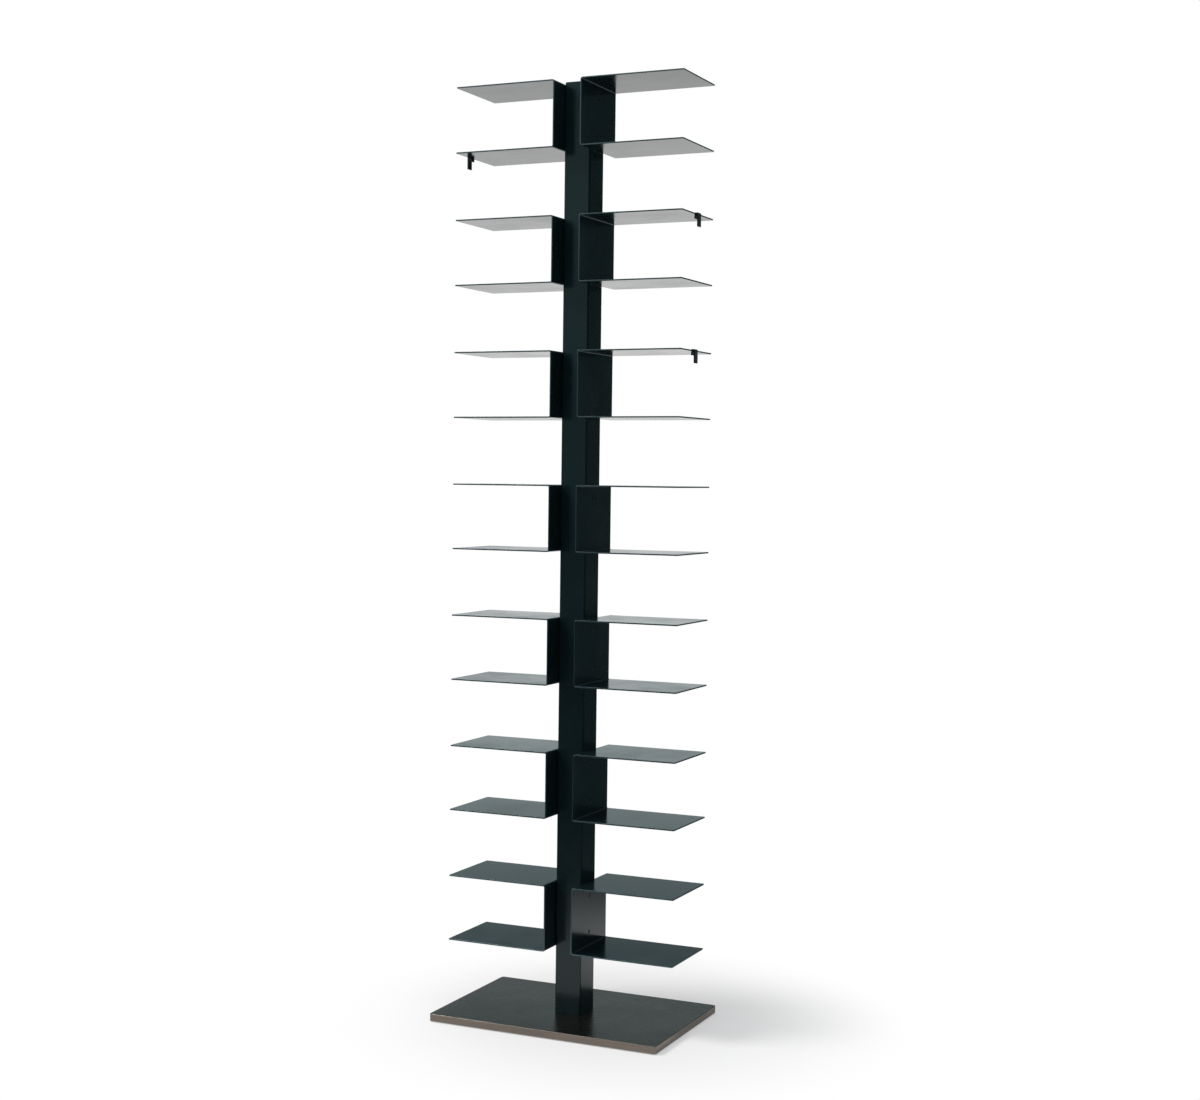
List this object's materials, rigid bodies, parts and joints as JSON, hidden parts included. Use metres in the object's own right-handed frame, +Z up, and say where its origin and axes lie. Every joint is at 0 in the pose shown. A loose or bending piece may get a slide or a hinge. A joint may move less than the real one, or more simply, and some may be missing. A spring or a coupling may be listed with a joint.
{
  "type": "spine bookshelf",
  "caption": "Tall free-standing bookshelf: a box-section column on a heavy floor plate carries folded sheet trays on both sides, with clip-on stops at the tray ends.",
  "frame": {"origin": "on the floor, under the middle of the floor plate", "axes": "+Z up along the column, +X along the floor plate's long side towards the right row of trays, +Y to the back"},
  "size_m": [0.5476, 0.35, 2.058],
  "materials": {
    "black_lacquer": "gloss black lacquer with a faint blue-green cast",
    "plate_steel": "satin steel, browned",
    "screw_steel": "black oxide",
    "zinc_steel": "zinc plated",
    "pad_rubber": "matt",
    "clip_plastic": "moulded, half gloss"
  },
  "bodies": {
    "shelf": {"floor_plate": "plate_steel", "floor_pad_front_left": "pad_rubber", "floor_pad_front_right": "pad_rubber", "floor_pad_back_left": "pad_rubber", "floor_pad_back_right": "pad_rubber", "floor_plate_screw_front_left": "screw_steel", "floor_plate_screw_front_right": "screw_steel", "floor_plate_screw_back_left": "screw_steel", "floor_plate_screw_back_right": "screw_steel", "column_tube": "black_lacquer", "column_foot": "zinc_steel", "column_cap": "black_lacquer", "threaded_bar_left": "zinc_steel", "threaded_bar_right": "zinc_steel", "tray_left_1": "black_lacquer", "tray_left_2": "black_lacquer", "tray_left_3": "black_lacquer", "tray_left_4": "black_lacquer", "tray_left_5": "black_lacquer", "tray_left_6": "black_lacquer", "tray_left_7": "black_lacquer", "tray_right_1": "black_lacquer", "tray_right_2": "black_lacquer", "tray_right_3": "black_lacquer", "tray_right_4": "black_lacquer", "tray_right_5": "black_lacquer", "tray_right_6": "black_lacquer", "tray_right_7": "black_lacquer", "tray_screw_left_1_lower": "screw_steel", "tray_screw_left_1_upper": "screw_steel", "tray_screw_left_2_lower": "screw_steel", "tray_screw_left_2_upper": "screw_steel", "tray_screw_left_3_lower": "screw_steel", "tray_screw_left_3_upper": "screw_steel", "tray_screw_left_4_lower": "screw_steel", "tray_screw_left_4_upper": "screw_steel", "tray_screw_left_5_lower": "screw_steel", "tray_screw_left_5_upper": "screw_steel", "tray_screw_left_6_lower": "screw_steel", "tray_screw_left_6_upper": "screw_steel", "tray_screw_left_7_lower": "screw_steel", "tray_screw_left_7_upper": "screw_steel", "tray_screw_right_1_lower": "screw_steel", "tray_screw_right_1_upper": "screw_steel", "tray_screw_right_2_lower": "screw_steel", "tray_screw_right_2_upper": "screw_steel", "tray_screw_right_3_lower": "screw_steel", "tray_screw_right_3_upper": "screw_steel", "tray_screw_right_4_lower": "screw_steel", "tray_screw_right_4_upper": "screw_steel", "tray_screw_right_5_lower": "screw_steel", "tray_screw_right_5_upper": "screw_steel", "tray_screw_right_6_lower": "screw_steel", "tray_screw_right_6_upper": "screw_steel", "tray_screw_right_7_lower": "screw_steel", "tray_screw_right_7_upper": "screw_steel"},
    "stop_left": {"end_stop_left": "clip_plastic"},
    "stop_right_upper": {"end_stop_right_upper": "clip_plastic"},
    "stop_right_lower": {"end_stop_right_lower": "clip_plastic"}
  },
  "joints": [
    {"name": "stop_left_slide", "type": "slide", "parent": "shelf", "child": "stop_left", "axis": [0, 1, 0], "range_m": [-0.056, 0.103]},
    {"name": "stop_right_upper_slide", "type": "slide", "parent": "shelf", "child": "stop_right_upper", "axis": [0, 1, 0], "range_m": [-0.08, 0.079]},
    {"name": "stop_right_lower_slide", "type": "slide", "parent": "shelf", "child": "stop_right_lower", "axis": [0, 1, 0], "range_m": [-0.071, 0.088]}
  ]
}
